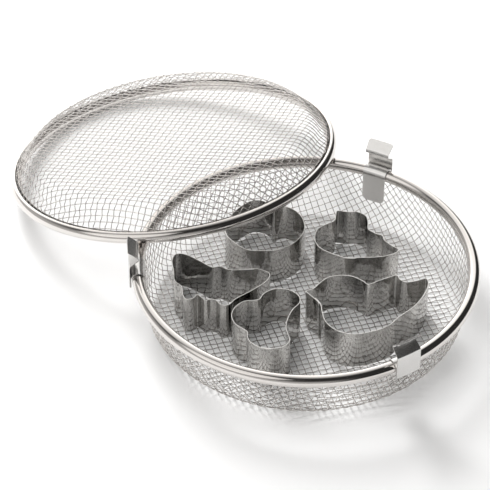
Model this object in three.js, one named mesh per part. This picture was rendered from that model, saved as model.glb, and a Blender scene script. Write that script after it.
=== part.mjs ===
// Round wire-mesh basket with a leaning mesh lid, three spring clips on the basket's rim and
// five loose sheet-metal forms on the basket's floor.
// Millimetres, +Z up. The origin is the centre of the basket's flat underside.
import * as THREE from 'three';

// ---- driving dimensions -------------------------------------------------------------------
const RIM_OUTER_R = 101.2;      // both rims share one outside radius
const RIM_TUBE_R = 3.6;         // outside radius of the rolled rim tube
const RIM_SHEET = 0.55;         // sheet the rim is rolled from
const SLIT_IN = -1.7;           // slit for the woven sheet, measured from the middle of the tube
const SLIT_OUT = 0.05;
const CORE_R = 1.6;             // wire inside each rolled rim
const CORE_SEAT = 2.5;          // middle of that wire from the tube's closed side
const MESH_T = 0.6;             // stand-in thickness of the woven sheet
const RIM_MID_R = RIM_OUTER_R - RIM_TUBE_R;

const BASKET_H = 36.7;          // top of the rim above the table
const BASKET_FLOOR_R = 83;      // flat part of the floor
const BASKET_CORNER_R = 10;     // bend between floor and wall

const LID_RISE = 20;            // top of the lid's panel above the underside of its rim
const LID_PANEL_R = 79;         // flat part of the panel
const LID_CORNER_R = 14;
const LID_TILT = 12.7;          // degrees, the lid leans with its far edge on the table
const LID_LEAN_DIR = 125.4;     // degrees, plan direction of the low edge
const LID_OFFSET = 136.6;       // plan distance of the lid's centre from the basket's centre
const TABLE_GAP = 0.3;          // running gap under the lid's low edge

const CLIP_FIRST = 62.8;        // degrees, the first of three clips 120 degrees apart
const CLIP_W = 15;              // width of the clip strip
const CLIP_T = 0.55;            // thickness of the clip strip
const CLIP_GAP = 0.3;           // clearance between strip and rim
const CLIP_TAB_END = 22.5;      // tab length below the rim's top
const CLIP_LEG_END = 8.5;       // hem of the outer leg below the rim's top
const NOSE_START = 6.5;         // heights above the rim's top
const NOSE_TIP = 10.8;
const NOSE_EXIT = 12.6;
const LIP_END = 16.7;

const FORM_H = 25;              // height of every loose form
const FORM_T = 0.5;             // sheet of the forms
const FORM_Z = 1.2;             // the forms stand on the wires of the floor
const RING_STEPS = 60;

const rad = THREE.MathUtils.degToRad;

// ---- materials ----------------------------------------------------------------------------
function steel(colour, roughness) {
  return new THREE.MeshStandardMaterial({ color: colour, metalness: 1, roughness });
}

function named(geometry, name, colour, roughness) {
  const mesh = new THREE.Mesh(geometry, steel(colour, roughness));
  mesh.name = name;
  return mesh;
}

// ---- rings --------------------------------------------------------------------------------
// A closed outline in (radius, height) turned about Z.
function ring(outline) {
  const points = outline.map(([r, z]) => new THREE.Vector2(r, z));
  if (THREE.ShapeUtils.area(points) < 0) points.reverse();
  points.push(points[0].clone());
  const geometry = new THREE.LatheGeometry(points, RING_STEPS);
  geometry.rotateX(Math.PI / 2);
  return geometry;
}

function arc(cr, cz, radius, from, to, steps) {
  const points = [];
  for (let i = 0; i <= steps; i += 1) {
    const a = rad(from + (to - from) * i / steps);
    points.push([cr + radius * Math.cos(a), cz + radius * Math.sin(a)]);
  }
  return points;
}

// Rolled tube with a slit along one side where the woven sheet goes in.
// The basket's slit faces down and the lid's faces up.
function rimTube(middle, slitUp) {
  const outer = RIM_TUBE_R;
  const inner = outer - RIM_SHEET;
  const atSlit = (radius, r) => THREE.MathUtils.radToDeg(Math.acos(r / radius));
  const outside = arc(
    RIM_MID_R, middle, outer, -atSlit(outer, SLIT_OUT), 360 - atSlit(outer, SLIT_IN), 15);
  const inside = arc(
    RIM_MID_R, middle, inner, 360 - atSlit(inner, SLIT_IN), -atSlit(inner, SLIT_OUT), 12);
  const flip = slitUp ? (z) => 2 * middle - z : (z) => z;
  return ring([...outside, ...inside].map(([r, z]) => [r, flip(z)]));
}

function coreWire(z) {
  return ring(arc(RIM_MID_R, z, CORE_R, 0, 300, 5));
}

// Centre line of the basket's woven sheet in (radius, height), from the axis to the rim.
function basketLine() {
  const cz = BASKET_CORNER_R + MESH_T / 2;
  return [
    [0, MESH_T / 2],
    ...arc(BASKET_FLOOR_R, cz, BASKET_CORNER_R, -90, -12, 5),
    [RIM_MID_R - 0.45, BASKET_H - 4.6],
  ];
}

// The lid is drawn level, underside of its rim at z = 0, panel upwards.
function lidLine() {
  const cz = LID_RISE - LID_CORNER_R;
  return [
    [0, LID_RISE],
    ...arc(LID_PANEL_R, cz, LID_CORNER_R, 90, 25, 5),
    [RIM_MID_R - 0.8, 2 * RIM_TUBE_R + 0.7],
    [RIM_MID_R - 0.7, 2 * RIM_TUBE_R - 2.6],
  ];
}

// Thin closed skin that stands in for the woven sheet, turned about Z.
function woven(line) {
  const points = strip(line, MESH_T).map(([r, z]) => new THREE.Vector2(r, z));
  points[0].x = 0;
  points[points.length - 1].x = 0;
  if (THREE.ShapeUtils.area(points) < 0) points.reverse();
  const geometry = new THREE.LatheGeometry(points, RING_STEPS);
  geometry.rotateX(Math.PI / 2);
  return geometry;
}

function leanLid(object) {
  const lean = rad(LID_LEAN_DIR);
  const axis = new THREE.Vector3(-Math.sin(lean), Math.cos(lean), 0);
  const tilt = rad(LID_TILT);
  const turn = new THREE.Matrix4().makeRotationAxis(axis, tilt);
  const height = TABLE_GAP + RIM_TUBE_R * (1 - Math.cos(tilt)) + RIM_MID_R * Math.sin(tilt);
  const move = new THREE.Matrix4().makeTranslation(
    LID_OFFSET * Math.cos(lean), LID_OFFSET * Math.sin(lean), height);
  object.geometry.applyMatrix4(move.multiply(turn));
  return object;
}

// ---- clips --------------------------------------------------------------------------------
// Offsets a centre line to both sides and closes it into a strip outline.
function strip(line, thickness) {
  const left = [];
  const right = [];
  for (let i = 0; i < line.length; i += 1) {
    const a = line[Math.max(i - 1, 0)];
    const b = line[i];
    const c = line[Math.min(i + 1, line.length - 1)];
    const before = new THREE.Vector2(b[0] - a[0], b[1] - a[1]);
    const after = new THREE.Vector2(c[0] - b[0], c[1] - b[1]);
    if (i === 0) before.copy(after);
    if (i === line.length - 1) after.copy(before);
    before.normalize();
    after.normalize();
    const along = before.clone().add(after).normalize();
    const reach = thickness / 2 / Math.max(along.dot(before), 0.5);
    left.push([b[0] - along.y * reach, b[1] + along.x * reach]);
    right.push([b[0] + along.y * reach, b[1] - along.x * reach]);
  }
  return [...left, ...right.reverse()];
}

// A strip outline in (radius, height) carried round the rim by the clip's width.
// roundTo is the height of the end whose corners are rounded, or null for square corners.
function curvedStrip(outline, angle, roundTo) {
  const shape = new THREE.Shape(outline.map(([r, z]) => new THREE.Vector2(r, z)));
  const geometry = new THREE.ExtrudeGeometry(shape, { depth: CLIP_W, steps: 6, bevelEnabled: false });
  const position = geometry.attributes.position;
  const corner = 4;
  for (let i = 0; i < position.count; i += 1) {
    const r = position.getX(i);
    const z = position.getY(i);
    let w = position.getZ(i) - CLIP_W / 2;
    const depth = z - roundTo;
    if (roundTo !== null && depth < corner) {
      const cut = corner - Math.max(depth, 0);
      w *= (CLIP_W / 2 - corner + Math.sqrt(Math.max(corner * corner - cut * cut, 0.3))) / (CLIP_W / 2);
    }
    const a = rad(angle) - w / RIM_MID_R;
    position.setXYZ(i, r * Math.cos(a), r * Math.sin(a), z);
  }
  geometry.computeVertexNormals();
  return geometry;
}

// Tab inside the wall, wrap over the rim and the outer leg down to the hem.
function clipSaddle(angle) {
  const half = RIM_TUBE_R + CLIP_GAP + CLIP_T / 2;
  const crown = BASKET_H - RIM_TUBE_R;
  const inner = RIM_MID_R - half;
  const outer = RIM_MID_R + half;
  const tab = [];
  const tabEnd = BASKET_H - CLIP_TAB_END;
  for (const step of [0, 0.4, 1.2, 2.4, 4]) {
    tab.push([inner - 0.02 * (CLIP_TAB_END - RIM_TUBE_R - step), tabEnd + step]);
  }
  const line = [
    ...tab,
    ...arc(RIM_MID_R, crown, half, 180, 0, 8),
    [outer, BASKET_H - CLIP_LEG_END],
  ];
  return curvedStrip(strip(line, CLIP_T), angle, tabEnd);
}

// Spring arm: up from the hem, inward nose over the lid's rim, and the finger lip.
function clipLatch(angle) {
  const start = RIM_OUTER_R + 2 * CLIP_GAP + 1.5 * CLIP_T;
  const top = BASKET_H;
  const line = [
    [start, top - CLIP_LEG_END],
    [start, top + NOSE_START - 0.4],
    [start - 0.2, top + NOSE_START],
    [RIM_MID_R - 0.6, top + NOSE_TIP - 0.3],
    [RIM_MID_R - 0.8, top + NOSE_TIP],
    [RIM_MID_R - 0.7, top + NOSE_TIP + 0.3],
    [RIM_MID_R - 0.1, top + NOSE_EXIT - 0.2],
    [RIM_MID_R + 0.1, top + NOSE_EXIT],
    [RIM_MID_R + 5.6, top + LIP_END],
  ];
  return curvedStrip(strip(line, CLIP_T), angle, null);
}

// ---- loose forms --------------------------------------------------------------------------
// Outlines as seen from above, in the basket's frame.
const RIBBON = [
  [-78, 14], [-76, 19], [-71, 19], [-62, 13], [-54, 7], [-50, 8], [-45, 5], [-35, 5], [-26, 5],
  [-21, 1], [-23, -5], [-31, -13], [-41, -21], [-45, -26], [-49, -26], [-52, -22], [-55, -21],
  [-58, -22], [-60, -20], [-63, -17], [-65, -20], [-69, -21], [-71, -18], [-72, -10], [-76, -5],
  [-77, 4],
];
const CLOVER = [
  [-22, -14], [-18, -12], [-13, -12], [-8, -14], [-4, -19], [-4, -24], [-8, -30], [-11, -38],
  [-12, -45], [-11, -51], [-10, -56], [-13, -61], [-19, -63], [-26, -62], [-32, -58], [-34, -53],
  [-34, -49], [-37, -46], [-41, -42], [-43, -35], [-41, -28], [-36, -23], [-30, -22], [-27, -21],
  [-25, -17],
];
const APPLE = [
  [-46, 36], [-41, 29], [-34, 23], [-26, 22], [-18, 23], [-9, 27], [-3, 34], [0, 42], [-1, 52],
  [-5, 59], [-11, 63], [-15, 62], [-18, 59], [-20, 64], [-24, 68], [-30, 69], [-37, 64],
  [-43, 56], [-47, 46],
];
const DUCK = [
  [20, 59], [26, 58], [32, 58], [37, 54], [38, 48], [38, 42], [42, 38], [46, 36], [47, 32],
  [51, 27], [55, 23], [53, 20], [46, 17], [35, 16], [24, 16], [15, 20], [8, 26], [6, 34],
  [8, 42], [14, 47], [18, 50], [19, 55],
];
const BIRD = [
  [0, -14], [4, -12], [8, -7], [13, -2], [20, 0], [27, -1], [33, -5], [36, -8], [42, -5],
  [48, -2], [53, 0], [55, -4], [58, -6], [64, -5], [70, -3], [71, -7], [68, -17], [62, -27],
  [53, -36], [46, -44], [36, -49], [26, -51], [17, -48], [11, -41], [9, -33], [8, -25],
  [5, -20], [2, -17],
];

// A closed band of sheet standing on edge.
function form(outline) {
  const knots = outline.map(([x, y]) => new THREE.Vector3(x, y, 0));
  const curve = new THREE.CatmullRomCurve3(knots, true, 'centripetal');
  const count = outline.length * 3;
  const middle = [];
  for (let i = 0; i < count; i += 1) {
    middle.push(curve.getPoint(i / count));
  }
  const area = THREE.ShapeUtils.area(middle);
  const side = area > 0 ? 1 : -1;
  const positions = [];
  const faces = [];
  for (let i = 0; i < count; i += 1) {
    const a = middle[(i + count - 1) % count];
    const b = middle[(i + 1) % count];
    const { x, y } = middle[i];
    const length = Math.hypot(b.x - a.x, b.y - a.y);
    const nx = side * (b.y - a.y) / length * FORM_T / 2;
    const ny = side * (a.x - b.x) / length * FORM_T / 2;
    positions.push(x + nx, y + ny, FORM_Z, x + nx, y + ny, FORM_Z + FORM_H);
    positions.push(x - nx, y - ny, FORM_Z + FORM_H, x - nx, y - ny, FORM_Z);
    for (let k = 0; k < 4; k += 1) {
      const p = i * 4 + k;
      const q = i * 4 + (k + 1) % 4;
      const r = ((i + 1) % count) * 4 + (k + 1) % 4;
      const s = ((i + 1) % count) * 4 + k;
      if (side > 0) faces.push(p, s, r, p, r, q);
      else faces.push(p, r, s, p, q, r);
    }
  }
  const geometry = new THREE.BufferGeometry();
  geometry.setAttribute('position', new THREE.Float32BufferAttribute(positions, 3));
  geometry.setIndex(faces);
  geometry.computeVertexNormals();
  return geometry;
}

// ---- assembly -----------------------------------------------------------------------------
const part = new THREE.Group();
part.name = 'mesh_basket_set';

part.add(named(woven(basketLine()), 'basket_mesh', 0xb9b7b2, 0.35));
part.add(named(rimTube(BASKET_H - RIM_TUBE_R, false), 'basket_rim', 0xd6d4cf, 0.12));
part.add(named(coreWire(BASKET_H - CORE_SEAT), 'basket_core_wire', 0xa9a7a2, 0.35));

part.add(leanLid(named(woven(lidLine()), 'lid_mesh', 0xb9b7b2, 0.35)));
part.add(leanLid(named(rimTube(RIM_TUBE_R, true), 'lid_rim', 0xd6d4cf, 0.12)));
part.add(leanLid(named(coreWire(CORE_SEAT), 'lid_core_wire', 0xa9a7a2, 0.35)));

['back', 'left', 'front'].forEach((place, i) => {
  const angle = CLIP_FIRST + 120 * i;
  part.add(named(clipSaddle(angle), `clip_${place}_saddle`, 0xc9c7c2, 0.25));
  part.add(named(clipLatch(angle), `clip_${place}_latch`, 0xc9c7c2, 0.25));
});

const forms = { ribbon: RIBBON, clover: CLOVER, apple: APPLE, duck: DUCK, bird: BIRD };
for (const [name, outline] of Object.entries(forms)) {
  part.add(named(form(outline), `form_${name}`, 0xbdbbb6, 0.18));
}

export default part;
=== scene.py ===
"""Visual model of a mesh basket with its lid, clips and forms.

The wires are woven one by one, the rims are rolled tubes, and the clips and forms are bent
strips. Lengths are millimetres until a mesh is made, which turns them into metres; the stage,
the lights and the camera are in metres.
"""

import math

import bpy
import numpy as np
from mathutils import Matrix, Vector


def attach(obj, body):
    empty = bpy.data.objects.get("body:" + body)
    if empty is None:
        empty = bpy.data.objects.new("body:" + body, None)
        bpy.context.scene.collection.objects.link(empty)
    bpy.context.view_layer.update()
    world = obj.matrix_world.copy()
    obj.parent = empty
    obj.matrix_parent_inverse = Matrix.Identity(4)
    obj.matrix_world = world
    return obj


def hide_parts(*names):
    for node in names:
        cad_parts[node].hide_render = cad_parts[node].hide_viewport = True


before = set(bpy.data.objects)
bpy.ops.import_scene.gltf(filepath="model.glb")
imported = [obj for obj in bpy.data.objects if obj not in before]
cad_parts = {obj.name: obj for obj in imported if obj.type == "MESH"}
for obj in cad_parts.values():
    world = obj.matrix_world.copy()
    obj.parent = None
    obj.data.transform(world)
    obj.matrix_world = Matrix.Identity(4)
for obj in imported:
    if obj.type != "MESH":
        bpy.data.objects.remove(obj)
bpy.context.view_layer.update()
MM = 0.001

# ---- dimensions, the same as in the solids -------------------------------------------------
RIM_R = 97.6
TUBE_R = 3.6
SHEET = 0.55
CORE_R = 1.6
CORE_SEAT = 2.5
BASKET_H = 36.7
LID_TILT = math.radians(12.7)
LID_DIR = math.radians(125.4)
LID_OFFSET = 136.6
CLIP_ANGLES = {"back": 62.8, "left": 182.8, "front": 302.8}
CLIP_W = 15.0
CLIP_T = 0.55
FORM_Z = 1.2
FORM_H = 25.0
FORM_T = 0.5
GAP = 0.3  # between pieces that touch

# ---- woven wires, where the solids have thin skins -----------------------------------------
WIRE_R = 0.26
WIRE_SPREAD = 0.10  # how far a wire strays from its even place
CRIMP_ROOM = 1.02  # leaves a little air where two wires cross

# ---- fineness and small unevenness ---------------------------------------------------------
ARC_STEP = 0.25  # along a drawn sheet's profile
WEAVE_FILLET = 2.0
STRIP_STEP = 0.45
STRIP_COLUMNS = 21
CLIP_BEVEL = 0.1
DIMPLE_DEPTH = 0.16
DIMPLE_R = 1.1
FORM_BEVEL = 0.08
FORM_STEP = 0.5
FORM_LEVELS = 9
FORM_LAP = 6.0
LAP_RAMP = 5.0
LAP_GAP = 0.02
KNOT_STEPS = 24
WAVE_HEIGHT = 0.05
WAVE_LENGTH = 4.1


# ---- mesh helpers --------------------------------------------------------------------------
def make(name, verts, faces, material, smooth=True, scale=MM):
    """A mesh object from vertices in millimetres and a list of faces."""
    mesh = bpy.data.meshes.new(name)
    mesh.from_pydata((np.asarray(verts, float) * scale).tolist(), [], faces)
    mesh.validate()
    mesh.polygons.foreach_set("use_smooth", [smooth] * len(mesh.polygons))
    obj = bpy.data.objects.new(name, mesh)
    bpy.context.scene.collection.objects.link(obj)
    mesh.materials.append(material)
    return obj


def add_bevel(obj, width, segments=2, angle=35):
    """Rounded edges, with the width in millimetres."""
    mod = obj.modifiers.new("edge", "BEVEL")
    mod.width = width * MM
    mod.segments = segments
    mod.limit_method = "ANGLE"
    mod.angle_limit = math.radians(angle)
    mod.harden_normals = True


def arc(cx, cz, radius, start, end, steps):
    """Points of an arc in (radius, height), from start to end in degrees."""
    angles = np.radians(np.linspace(start, end, steps + 1))
    return [(cx + radius * math.cos(a), cz + radius * math.sin(a)) for a in angles]


def lean_lid(points):
    """Carry the points of a level lid at the origin to where the lid leans."""
    axis = Vector((-math.sin(LID_DIR), math.cos(LID_DIR), 0))
    turn = np.array(Matrix.Rotation(LID_TILT, 3, axis))
    height = GAP + TUBE_R * (1 - math.cos(LID_TILT)) + RIM_R * math.sin(LID_TILT)
    move = np.array([LID_OFFSET * math.cos(LID_DIR), LID_OFFSET * math.sin(LID_DIR), height])
    return np.asarray(points) @ turn.T + move


# ---- woven wire ----------------------------------------------------------------------------
class Drawn:
    """A surface of revolution that a flat woven sheet was drawn into, by arc length."""

    def __init__(self, line, fillet):
        pts = np.array(line, float)
        step = np.hypot(*np.diff(pts, axis=0).T)
        s = np.r_[0, np.cumsum(step)]
        self.s = np.arange(0, s[-1], ARC_STEP)
        r = np.interp(self.s, s, pts[:, 0])
        z = np.interp(self.s, s, pts[:, 1])
        n = int(fillet / ARC_STEP)
        kernel = np.hanning(2 * n + 3)[1:-1]
        kernel /= kernel.sum()
        pad = len(kernel) // 2
        z_ext = np.r_[np.full(pad, z[0]), z, z[-1] + (z[-1] - z[-2]) * np.arange(1, pad + 1)]
        r_ext = np.r_[-r[pad:0:-1], r, r[-1] + (r[-1] - r[-2]) * np.arange(1, pad + 1)]
        self.r = np.convolve(r_ext, kernel, "valid")
        self.z = np.convolve(z_ext, kernel, "valid")
        dr = np.gradient(self.r, self.s)
        dz = np.gradient(self.z, self.s)
        length = np.hypot(dr, dz)
        self.nr = -dz / length
        self.nz = dr / length
        self.end = self.s[-1]

    def place(self, u, v, turn):
        """Where the flat sheet's points (u, v) end up, and the surface's normals there."""
        rho = np.hypot(u, v)
        phi = np.arctan2(v, u) + turn
        r, z, nr, nz = (np.interp(rho, self.s, a) for a in (self.r, self.z, self.nr, self.nz))
        c, s = np.cos(phi), np.sin(phi)
        return np.c_[r * c, r * s, z], np.c_[nr * c, nr * s, nz]


def drift(u, v, seed):
    """Small unevenness of the weave, in millimetres, the same for both sets of wires."""
    a = 0.30 * np.sin(u / 17 + v / 29 + seed) + 0.22 * np.sin(v / 11 - u / 23 + 2 * seed)
    b = 0.30 * np.sin(v / 19 - u / 31 + 3 * seed) + 0.22 * np.sin(u / 13 + v / 37 + seed)
    return a, b


def wires(name, surface, pitch, turn, along_v, seed, material, shape=None, crimp=1.0, sides=5,
          per_cell=4):
    """One set of parallel wires, waving over and under the other set.

    crimp is how far they wave, in wire radii. The crimps of the two sets add up to 2, so that
    wires touch where they cross.
    """
    rng = np.random.default_rng(int(seed * 10) + along_v)
    count = int(surface.end // pitch) + 1
    verts, faces, base = [], [], 0
    ring = np.radians(np.arange(sides) * 360 / sides)
    for i in range(-count, count + 1):
        across = i * pitch + rng.normal(0, WIRE_SPREAD)
        reach = surface.end**2 - across**2
        if reach < (2 * pitch) ** 2:
            continue
        reach = math.sqrt(reach)
        n = int(reach / pitch * per_cell)
        t = np.linspace(-reach, reach, 2 * n + 1)
        bend = np.cos(math.pi * t / pitch + math.pi * i) * WIRE_R * CRIMP_ROOM * crimp
        side = -1 if along_v else 1
        u, v = (np.full_like(t, across), t) if along_v else (t, np.full_like(t, across))
        du, dv = drift(u, v, seed)
        pos, nor = surface.place(u + du, v + dv, turn)
        pos = pos + nor * (side * bend)[:, None]
        tan = np.gradient(pos, axis=0)
        tan /= np.linalg.norm(tan, axis=1)[:, None]
        b = np.cross(tan, nor)
        b /= np.linalg.norm(b, axis=1)[:, None]
        n2 = np.cross(b, tan)
        grid = pos[:, None] + WIRE_R * (
            np.cos(ring)[None, :, None] * n2[:, None] + np.sin(ring)[None, :, None] * b[:, None]
        )
        rows = len(t)
        verts.append(grid.reshape(-1, 3))
        idx = base + np.arange(rows * sides).reshape(rows, sides)
        nxt = np.roll(idx, -1, axis=1)
        quads = np.stack([idx[:-1], nxt[:-1], nxt[1:], idx[1:]], -1).reshape(-1, 4)
        faces.extend(quads.tolist())
        faces.append(idx[0][::-1].tolist())
        faces.append(idx[-1].tolist())
        base += rows * sides
    verts = np.concatenate(verts)
    if shape:
        verts = shape(verts)
    return make(name, verts, faces, material)


# ---- rims ----------------------------------------------------------------------------------
def ring_mesh(name, outline, material, shape=None, steps=256):
    """A closed outline in (radius, height) turned about Z."""
    pts = np.array(outline)
    n = len(pts)
    angles = np.linspace(0, 2 * math.pi, steps, endpoint=False)
    verts = np.stack(
        [
            pts[None, :, 0] * np.cos(angles)[:, None],
            pts[None, :, 0] * np.sin(angles)[:, None],
            np.broadcast_to(pts[None, :, 1], (steps, n)),
        ],
        -1,
    ).reshape(-1, 3)
    faces = []
    for i in range(steps):
        a, b = i * n, ((i + 1) % steps) * n
        for k in range(n):
            j = (k + 1) % n
            faces.append([a + k, b + k, b + j, a + j])
    if shape:
        verts = shape(verts)
    return make(name, verts, faces, material)


def rim_outline(middle, slit_up):
    """Rolled tube, its two edges turned to the woven sheet on both sides of a slit."""
    inner = TUBE_R - SHEET
    slit_in, slit_out = -1.7, 0.05

    def at(radius, x):
        return math.degrees(math.acos(x / radius))

    pts = arc(RIM_R, middle, TUBE_R, -at(TUBE_R, slit_out), 360 - at(TUBE_R, slit_in), 56)
    pts += arc(RIM_R, middle, inner, 360 - at(inner, slit_in), -at(inner, slit_out), 24)
    if slit_up:
        pts = [(r, 2 * middle - z) for r, z in pts][::-1]
    return pts


# ---- clips ---------------------------------------------------------------------------------
def rounded(points, radius):
    """A polyline in (radius, height) with its corners rounded."""
    pts = [Vector(p) for p in points]
    out = [pts[0]]
    for a, b, c in zip(pts, pts[1:], pts[2:]):
        p, q = (a - b), (c - b)
        reach = min(radius, p.length * 0.45, q.length * 0.45)
        start, end = b + p.normalized() * reach, b + q.normalized() * reach
        for i in range(6):
            t = i / 5
            out.append(start * (1 - t) ** 2 + b * 2 * t * (1 - t) + end * t * t)
    out.append(pts[-1])
    return out


def resample(points, step):
    """The polyline at even steps, and the length along it at each point."""
    pts = np.array([tuple(p) for p in points])
    s = np.r_[0, np.cumsum(np.hypot(*np.diff(pts, axis=0).T))]
    keep = np.r_[True, np.diff(s) > 1e-6]
    pts, s = pts[keep], s[keep]
    n = max(int(s[-1] / step), 2)
    t = np.linspace(0, s[-1], n + 1)
    return np.c_[np.interp(t, s, pts[:, 0]), np.interp(t, s, pts[:, 1])], t


def strip(name, line, angle, material, round_start=0.0, round_end=0.0, dimple=None):
    """A bent strip of sheet carried round the rim, with optional rounded ends."""
    pts, s = resample(line, STRIP_STEP)
    tan = np.gradient(pts, axis=0)
    tan /= np.linalg.norm(tan, axis=1)[:, None]
    nor = np.c_[-tan[:, 1], tan[:, 0]]
    across = np.linspace(-1, 1, STRIP_COLUMNS)
    half = np.full(len(s), CLIP_W / 2)
    for corner, dist in ((round_start, s), (round_end, s[-1] - s)):
        if corner:
            cut = np.clip(corner - dist, 0, corner)
            half = half - corner + np.sqrt(np.maximum(corner**2 - cut**2, 0.02))
    rows, cols = len(s), len(across)
    verts = []
    for side in (0.5, -0.5):
        for i in range(rows):
            for k in range(cols):
                w = across[k] * half[i]
                lift = 0.0
                if dimple:
                    d = math.hypot(s[i] - dimple, w)
                    lift = -DIMPLE_DEPTH * math.exp(-((d / DIMPLE_R) ** 2))
                p = pts[i] + nor[i] * (CLIP_T * side + lift)
                a = math.radians(angle) - w / RIM_R
                verts.append((p[0] * math.cos(a), p[0] * math.sin(a), p[1]))
    faces = []
    total = rows * cols
    for i in range(rows - 1):
        for k in range(cols - 1):
            a = i * cols + k
            faces.append([a, a + cols, a + cols + 1, a + 1])
            faces.append([total + a, total + a + 1, total + a + cols + 1, total + a + cols])
    for i in range(rows - 1):
        a, b = i * cols, i * cols + cols - 1
        faces.append([a, total + a, total + a + cols, a + cols])
        faces.append([b, b + cols, total + b + cols, total + b])
    for k in range(cols - 1):
        a, b = k, (rows - 1) * cols + k
        faces.append([a, a + 1, total + a + 1, total + a])
        faces.append([b, total + b, total + b + 1, b + 1])
    obj = make(name, verts, faces, material)
    add_bevel(obj, CLIP_BEVEL)
    return obj


# ---- forms ---------------------------------------------------------------------------------
# Outlines in plan, the same as in the solids: knots of a closed curve, thinned from points that
# another script measured.
RIBBON = [
    (-78, 14), (-76, 19), (-71, 19), (-62, 13), (-54, 7), (-50, 8), (-45, 5), (-35, 5), (-26, 5),
    (-21, 1), (-23, -5), (-31, -13), (-41, -21), (-45, -26), (-49, -26), (-52, -22), (-55, -21),
    (-58, -22), (-60, -20), (-63, -17), (-65, -20), (-69, -21), (-71, -18), (-72, -10), (-76, -5),
    (-77, 4),
]
CLOVER = [
    (-22, -14), (-18, -12), (-13, -12), (-8, -14), (-4, -19), (-4, -24), (-8, -30), (-11, -38),
    (-12, -45), (-11, -51), (-10, -56), (-13, -61), (-19, -63), (-26, -62), (-32, -58), (-34, -53),
    (-34, -49), (-37, -46), (-41, -42), (-43, -35), (-41, -28), (-36, -23), (-30, -22), (-27, -21),
    (-25, -17),
]
APPLE = [
    (-46, 36), (-41, 29), (-34, 23), (-26, 22), (-18, 23), (-9, 27), (-3, 34), (0, 42), (-1, 52),
    (-5, 59), (-11, 63), (-15, 62), (-18, 59), (-20, 64), (-24, 68), (-30, 69), (-37, 64),
    (-43, 56), (-47, 46),
]
DUCK = [
    (20, 59), (26, 58), (32, 58), (37, 54), (38, 48), (38, 42), (42, 38), (46, 36), (47, 32),
    (51, 27), (55, 23), (53, 20), (46, 17), (35, 16), (24, 16), (15, 20), (8, 26), (6, 34),
    (8, 42), (14, 47), (18, 50), (19, 55),
]
BIRD = [
    (0, -14), (4, -12), (8, -7), (13, -2), (20, 0), (27, -1), (33, -5), (36, -8), (42, -5),
    (48, -2), (53, 0), (55, -4), (58, -6), (64, -5), (70, -3), (71, -7), (68, -17), (62, -27),
    (53, -36), (46, -44), (36, -49), (26, -51), (17, -48), (11, -41), (9, -33), (8, -25),
    (5, -20), (2, -17),
]


def closed_curve(knots, per_knot):
    """Centripetal Catmull-Rom through the knots, the same curve as in the solids."""
    pts = [Vector((*k, 0)) for k in knots]
    n = len(pts)
    out = []
    for i in range(n):
        p = [pts[(i + k - 1) % n] for k in range(4)]
        d = [max((p[k + 1] - p[k]).length, 1e-6) ** 0.5 for k in range(3)]
        t1 = (p[1] - p[0]) / d[0] - (p[2] - p[0]) / (d[0] + d[1]) + (p[2] - p[1]) / d[1]
        t2 = (p[2] - p[1]) / d[1] - (p[3] - p[1]) / (d[1] + d[2]) + (p[3] - p[2]) / d[2]
        t1, t2 = t1 * d[1], t2 * d[1]
        for k in range(per_knot):
            t = k / per_knot
            h = (2 * t**3 - 3 * t**2 + 1, t**3 - 2 * t**2 + t, -2 * t**3 + 3 * t**2, t**3 - t**2)
            out.append((p[1] * h[0] + t1 * h[1] + p[2] * h[2] + t2 * h[3])[:2])
    return np.array(out)


def form(name, knots, seam, material):
    """A strip of sheet on edge, bent round the outline, its ends lapped at the seam."""
    curve = closed_curve(knots, KNOT_STEPS)
    after = np.roll(curve, -1, axis=0)
    if np.sum(curve[:, 0] * after[:, 1] - after[:, 0] * curve[:, 1]) < 0:
        curve = curve[::-1]
    start = int(np.argmin(np.hypot(*(curve - np.array(seam)).T)))
    curve = np.roll(curve, -start, axis=0)
    loop = np.vstack([curve, curve[:1]])
    s = np.r_[0, np.cumsum(np.hypot(*np.diff(loop, axis=0).T))]
    length = s[-1]
    t = np.arange(0, length + FORM_LAP, FORM_STEP)
    x = np.interp(t % length, s, loop[:, 0])
    y = np.interp(t % length, s, loop[:, 1])
    tx, ty = np.gradient(x), np.gradient(y)
    norm = np.hypot(tx, ty)
    nx, ny = ty / norm, -tx / norm
    ramp = np.clip((t - (length - LAP_RAMP)) / LAP_RAMP, 0, 1)
    out = (FORM_T + LAP_GAP) * ramp * ramp * (3 - 2 * ramp)
    x, y = x + nx * out, y + ny * out
    levels = np.linspace(0, 1, FORM_LEVELS)
    rows, cols = len(t), len(levels)
    verts = []
    for side in (0.5, -0.5):
        for i in range(rows):
            for h in levels:
                wave = WAVE_HEIGHT * math.sin(t[i] / WAVE_LENGTH + 3 * h) * math.sin(math.pi * h)
                off = FORM_T * side + wave
                verts.append((x[i] + nx[i] * off, y[i] + ny[i] * off, FORM_Z + FORM_H * h))
    faces, cut = [], []
    total = rows * cols
    for i in range(rows - 1):
        for k in range(cols - 1):
            a = i * cols + k
            faces.append([a, a + cols, a + cols + 1, a + 1])
            faces.append([total + a, total + a + 1, total + a + cols + 1, total + a + cols])
        a, b = i * cols, i * cols + cols - 1
        cut += [len(faces), len(faces) + 1]
        faces.append([a, total + a, total + a + cols, a + cols])
        faces.append([b, b + cols, total + b + cols, total + b])
    for k in range(cols - 1):
        a, b = k, (rows - 1) * cols + k
        faces.append([a, a + 1, total + a + 1, total + a])
        faces.append([b, total + b, total + b + 1, b + 1])
    obj = make(name, verts, faces, material)
    obj.data.materials.append(CUT)
    for i in cut:
        obj.data.polygons[i].material_index = 1
    add_bevel(obj, FORM_BEVEL)
    return obj


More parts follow.
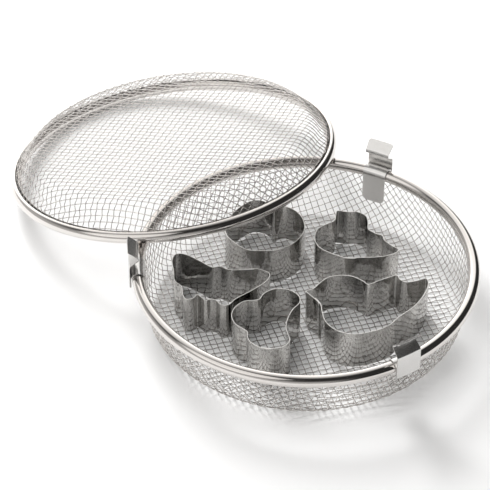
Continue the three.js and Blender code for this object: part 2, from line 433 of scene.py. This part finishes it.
# ---- materials -----------------------------------------------------------------------------
def steel(name, colour, rough, bump, noise_scale, grain=None, dark=0.85, metal=1.0, depth=0.2):
    """Steel with mottled colour, uneven roughness and a soft waviness.

    rough is the least and the most roughness, grain stretches the pattern, and depth is the
    waviness in millimetres.
    """
    mat = bpy.data.materials.new(name)
    mat.use_nodes = True
    tree = mat.node_tree
    nodes, links = tree.nodes, tree.links
    bsdf = nodes["Principled BSDF"]
    bsdf.inputs["Metallic"].default_value = metal
    coord = nodes.new("ShaderNodeTexCoord")
    mapping = nodes.new("ShaderNodeMapping")
    mapping.inputs["Scale"].default_value = grain or (1, 1, 1)
    links.new(coord.outputs["Object"], mapping.inputs["Vector"])
    big = nodes.new("ShaderNodeTexNoise")
    big.inputs["Scale"].default_value = noise_scale
    big.inputs["Detail"].default_value = 4
    links.new(mapping.outputs["Vector"], big.inputs["Vector"])
    fine = nodes.new("ShaderNodeTexNoise")
    fine.inputs["Scale"].default_value = noise_scale * 9
    fine.inputs["Detail"].default_value = 3
    links.new(mapping.outputs["Vector"], fine.inputs["Vector"])
    ramp = nodes.new("ShaderNodeValToRGB")
    ramp.color_ramp.elements[0].position = 0.3
    ramp.color_ramp.elements[0].color = (*[c * dark for c in colour], 1)
    ramp.color_ramp.elements[1].position = 0.7
    ramp.color_ramp.elements[1].color = (*colour, 1)
    links.new(big.outputs["Fac"], ramp.inputs["Fac"])
    links.new(ramp.outputs["Color"], bsdf.inputs["Base Color"])
    spread = nodes.new("ShaderNodeMapRange")
    spread.inputs["From Min"].default_value = 0.3
    spread.inputs["From Max"].default_value = 0.7
    spread.inputs["To Min"].default_value = rough[0]
    spread.inputs["To Max"].default_value = rough[1]
    links.new(fine.outputs["Fac"], spread.inputs["Value"])
    links.new(spread.outputs["Result"], bsdf.inputs["Roughness"])
    bumps = nodes.new("ShaderNodeBump")
    bumps.inputs["Strength"].default_value = bump
    bumps.inputs["Distance"].default_value = depth * MM
    links.new(big.outputs["Fac"], bumps.inputs["Height"])
    links.new(bumps.outputs["Normal"], bsdf.inputs["Normal"])
    return mat


WIRE = steel("woven_wire", (0.86, 0.83, 0.805), (0.12, 0.28), 0.2, 60)
BAND = steel("polished_band", (0.75, 0.72, 0.695), (0.08, 0.16), 0.05, 30, dark=0.95)
CORE = steel("inner_wire", (0.55, 0.54, 0.52), (0.3, 0.45), 0.2, 80)
CLIP = steel("clip_strip", (0.80, 0.79, 0.775), (0.14, 0.24), 0.06, 40, dark=0.9, metal=0.88)
FORM = steel("form_sheet", (0.62, 0.61, 0.59), (0.04, 0.13), 1.0, 130, grain=(1, 1, 0.4), dark=0.6,
             depth=0.35)
CUT = steel("cut_edge", (0.9, 0.89, 0.87), (0.35, 0.5), 0.3, 150)


# ---- the object ----------------------------------------------------------------------------
def dress(obj, body, slot, *nodes):
    """Let a piece stand for its CAD nodes and ride on its body. The slot is not used."""
    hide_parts(*nodes)
    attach(obj, body)
    return obj


# Woven sheets: the profile of each, then its two sets of wires.
WEAVE_Z = 2 * WIRE_R + 0.02
FLOOR_R = 83
FLOOR_CORNER = 10
DOME_TOP = 20
DOME_R = 79
DOME_CORNER = 14
basket_line = (
    [(0, WEAVE_Z)]
    + arc(FLOOR_R, WEAVE_Z + FLOOR_CORNER, FLOOR_CORNER, -90, -12, 24)
    + [(RIM_R - 0.9, BASKET_H - 7.0), (RIM_R - 0.7, BASKET_H - 4.5)]
)
lid_line = (
    [(0, DOME_TOP)]
    + arc(DOME_R, DOME_TOP - DOME_CORNER, DOME_CORNER, 90, 25, 24)
    + [(RIM_R - 0.8, 2 * TUBE_R + 0.8), (RIM_R - 0.7, 2 * TUBE_R - 2.4)]
)
# name, profile, pitch, turn in degrees, seed, place, crimp of the warp and of the weft
for name, line, pitch, turn, seed, shape, crimps in (
    ("basket", basket_line, 3.85, 16, 1.7, None, (1.0, 1.0)),
    ("lid", lid_line, 3.9, -20, 4.2, lean_lid, (1.7, 0.3)),
):
    skin = Drawn(line, WEAVE_FILLET)
    for wire_set, along_v, crimp in (("warp", True, crimps[0]), ("weft", False, crimps[1])):
        weave = wires(f"{name}_{wire_set}", skin, pitch, math.radians(turn), along_v, seed, WIRE,
                      shape, crimp)
        dress(weave, name, "woven_wire", f"{name}_mesh")

# Rolled rims, and the wire inside each.
dress(ring_mesh("basket_band", rim_outline(BASKET_H - TUBE_R, False), BAND),
      "basket", "polished_band", "basket_rim")
dress(ring_mesh("lid_band", rim_outline(TUBE_R, True), BAND, lean_lid),
      "lid", "polished_band", "lid_rim")
dress(ring_mesh("basket_core", arc(RIM_R, BASKET_H - CORE_SEAT, CORE_R, 0, 330, 11), CORE),
      "basket", "inner_wire", "basket_core_wire")
dress(ring_mesh("lid_core", arc(RIM_R, CORE_SEAT, CORE_R, 0, 330, 11), CORE, lean_lid),
      "lid", "inner_wire", "lid_core_wire")

# Clips: the saddle goes over the rim and turns up at its hem, where the latch begins. Heights
# are measured from the top of the basket's rim.
TAB_END_R = 93.2
TAB_END_DROP = 22.5
TAB_BEND_DROP = 20
HEM_DROP = 8.5
ARM_RISE = 6.5
NOSE_RISE = 10.8
LIP_BEND_RISE = 12.6
LIP_END_RISE = 16.7
NOSE_REACH = 0.8
LIP_REACH = 5.6
half = TUBE_R + GAP + CLIP_T / 2
crown = BASKET_H - TUBE_R
leg = RIM_R + half
arm = leg + GAP + CLIP_T
hem = BASKET_H - HEM_DROP
tab = RIM_R - half
saddle_line = rounded(
    [(TAB_END_R, BASKET_H - TAB_END_DROP), (tab, BASKET_H - TAB_BEND_DROP), (tab, crown)], 2.0)
saddle_line += [Vector(p) for p in arc(RIM_R, crown, half, 180, 0, 24)][1:]
saddle_line += [Vector((leg, hem))]
saddle_line += [Vector(p) for p in arc((leg + arm) / 2, hem, (arm - leg) / 2, 180, 350, 6)][1:]
latch_line = rounded(
    [
        (arm, hem + 0.05),
        (arm, BASKET_H + ARM_RISE),
        (RIM_R - NOSE_REACH, BASKET_H + NOSE_RISE),
        (RIM_R, BASKET_H + LIP_BEND_RISE),
        (RIM_R + LIP_REACH, BASKET_H + LIP_END_RISE),
    ],
    0.9,
)
for place, angle in CLIP_ANGLES.items():
    dress(strip(f"clip_{place}_wrap", saddle_line, angle, CLIP, round_start=3.5, dimple=7.5),
          "basket", "clip_strip", f"clip_{place}_saddle")
    dress(strip(f"clip_{place}_arm", latch_line, angle, CLIP, round_end=1.2),
          f"latch_{place}", "clip_strip", f"clip_{place}_latch")

# Forms, each with the place of its seam.
for name, knots, seam in (
    ("ribbon", RIBBON, (-30, 5)),
    ("clover", CLOVER, (-26, -62)),
    ("apple", APPLE, (-18, 23)),
    ("duck", DUCK, (24, 16)),
    ("bird", BIRD, (5, -20)),
):
    dress(form(f"{name}_band", knots, seam, FORM), f"form_{name}", "form_sheet", f"form_{name}")


# ---- stage ---------------------------------------------------------------------------------
def stage_material(colour):
    """A plain matt table."""
    mat = bpy.data.materials.new("table")
    mat.use_nodes = True
    bsdf = mat.node_tree.nodes["Principled BSDF"]
    bsdf.inputs["Base Color"].default_value = (*colour, 1)
    bsdf.inputs["Roughness"].default_value = 0.9
    return mat


TABLE_HALF = 6
table_corners = [(x * TABLE_HALF, y * TABLE_HALF, 0) for x, y in ((-1, -1), (1, -1), (1, 1), (-1, 1))]
table = make("table", table_corners, [[0, 1, 2, 3]], stage_material((0.88, 0.88, 0.88)),
             smooth=False, scale=1)


# From where a mask is 0 to where it is 1. Left and right are slopes out of the upright plane
# through Y, and the top is the cosine of the height angle from +Y.
PANEL_LEFT = (-1.0, -0.55)
PANEL_RIGHT = (0.38, 0.20)
PANEL_TOP = (-0.2, 1.1)
PANEL_LEVEL = 1.5
WALL_TOP = (0.75, 0.2)
WALL_RIGHT = (0.5, 0.1)
WALL_LEVEL = 0.5
ROOM_LEVEL = 0.03
# A round soft box high at the front left: its direction, and the cosines of the angle from it
# where the box begins and where it is full.
BOX_AXIS = (-0.55, -0.38, 0.744)
BOX_EDGE = (0.86, 0.94)
BOX_LEVEL = 1.0


def world_light():
    """The room that the steel reflects: a tall white panel behind, low pale walls, a round soft
    box at the front left, and dark elsewhere."""
    world = bpy.data.worlds.new("studio")
    bpy.context.scene.world = world
    world.use_nodes = True
    nodes, links = world.node_tree.nodes, world.node_tree.links
    coord = nodes.new("ShaderNodeTexCoord")
    split = nodes.new("ShaderNodeSeparateXYZ")
    links.new(coord.outputs["Generated"], split.inputs["Vector"])

    def math_node(operation, a, b):
        node = nodes.new("ShaderNodeMath")
        node.operation = operation
        for socket, value in zip(node.inputs, (a, b)):
            if isinstance(value, (int, float)):
                socket.default_value = value
            else:
                links.new(value, socket)
        return node.outputs["Value"]

    def step(value, low, high):
        node = nodes.new("ShaderNodeMapRange")
        node.interpolation_type = "SMOOTHSTEP"
        node.inputs["From Min"].default_value = low
        node.inputs["From Max"].default_value = high
        links.new(value, node.inputs["Value"])
        return node.outputs["Result"]

    x, y, z = split.outputs["X"], split.outputs["Y"], split.outputs["Z"]
    upright = math_node("SQRT", math_node("SUBTRACT", 1, math_node("MULTIPLY", x, x)), 0)
    across = math_node("DIVIDE", x, upright)
    back = math_node("DIVIDE", y, upright)
    panel = math_node("MULTIPLY", step(across, *PANEL_LEFT), step(across, *PANEL_RIGHT))
    panel = math_node("MULTIPLY", panel, step(back, *PANEL_TOP))
    wall = math_node("MULTIPLY", step(z, *WALL_TOP), step(x, *WALL_RIGHT))
    toward = math_node("MULTIPLY", x, BOX_AXIS[0])
    toward = math_node("ADD", toward, math_node("MULTIPLY", y, BOX_AXIS[1]))
    toward = math_node("ADD", toward, math_node("MULTIPLY", z, BOX_AXIS[2]))
    glow = math_node("MULTIPLY", panel, PANEL_LEVEL)
    glow = math_node("ADD", glow, math_node("MULTIPLY", step(toward, *BOX_EDGE), BOX_LEVEL))
    glow = math_node("ADD", glow, math_node("MULTIPLY", wall, WALL_LEVEL))
    glow = math_node("ADD", glow, ROOM_LEVEL)
    background = nodes["Background"]
    background.inputs["Color"].default_value = (1, 0.985, 0.965, 1)
    links.new(glow, background.inputs["Strength"])


def area(name, place, target, size, power):
    """A round lamp aimed at the target, which lights surfaces but isn't mirrored in them."""
    light = bpy.data.lights.new(name, "AREA")
    light.shape = "DISK"
    light.size = size
    light.energy = power
    obj = bpy.data.objects.new(name, light)
    obj.location = place
    direction = Vector(target) - Vector(place)
    obj.rotation_euler = direction.to_track_quat("-Z", "Y").to_euler()
    obj.visible_glossy = False
    bpy.context.scene.collection.objects.link(obj)


world_light()
area("back_box", (-0.75, 1.45, 1.2), (-0.02, 0.03, 0), 1.0, 42)
area("fill", (-0.5, -0.1, 2.6), (0, 0, 0), 2.4, 27)

# ---- camera --------------------------------------------------------------------------------
CAMERA_PLACE = (-0.03534, -1.14447, 1.01631)
CAMERA_DOWN = 40.2  # degrees below the level
LENS = 191
camera = bpy.data.objects.new("camera", bpy.data.cameras.new("camera"))
bpy.context.scene.collection.objects.link(camera)
camera.location = CAMERA_PLACE
camera.rotation_euler = (math.radians(90 - CAMERA_DOWN), 0, 0)
camera.data.sensor_width = 36
camera.data.lens = LENS
camera.data.clip_end = 50
bpy.context.scene.camera = camera
bpy.context.scene.view_settings.view_transform = "Standard"
